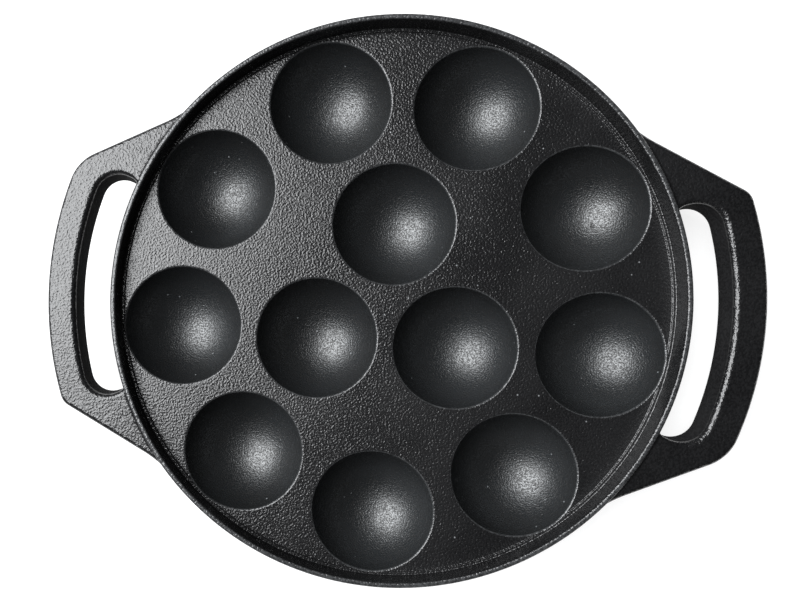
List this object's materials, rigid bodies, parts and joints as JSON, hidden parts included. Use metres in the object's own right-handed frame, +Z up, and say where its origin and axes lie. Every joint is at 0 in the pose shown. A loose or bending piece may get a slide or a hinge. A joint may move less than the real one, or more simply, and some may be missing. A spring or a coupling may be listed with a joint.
{
  "type": "paniyaram pan",
  "caption": "Round cast iron pan with hemispherical cups sunk in its flat plate, a raised rim and a loop handle on each side, for frying small round dumplings.",
  "frame": {"origin": "under the middle of the pan, on the surface that it stands on", "axes": "+X along the handles towards the right one, +Z up out of the cups, +Y towards the single inner cup"},
  "size_m": [0.2806, 0.2262, 0.0335],
  "materials": {
    "cast_skin": "seasoned sand-cast skin with a fine grain",
    "cup_skin": "seasoned cast skin, smoother than the plate, satin"
  },
  "bodies": {
    "root": {"plate": "cast_skin", "rim_wall": "cast_skin", "cup_outer_1": "cup_skin", "cup_outer_2": "cup_skin", "cup_outer_3": "cup_skin", "cup_outer_4": "cup_skin", "cup_outer_5": "cup_skin", "cup_outer_6": "cup_skin", "cup_outer_7": "cup_skin", "cup_outer_8": "cup_skin", "cup_outer_9": "cup_skin", "cup_inner_1": "cup_skin", "cup_inner_2": "cup_skin", "cup_inner_3": "cup_skin", "handle_right": "cast_skin", "handle_left": "cast_skin"}
  },
  "joints": []
}
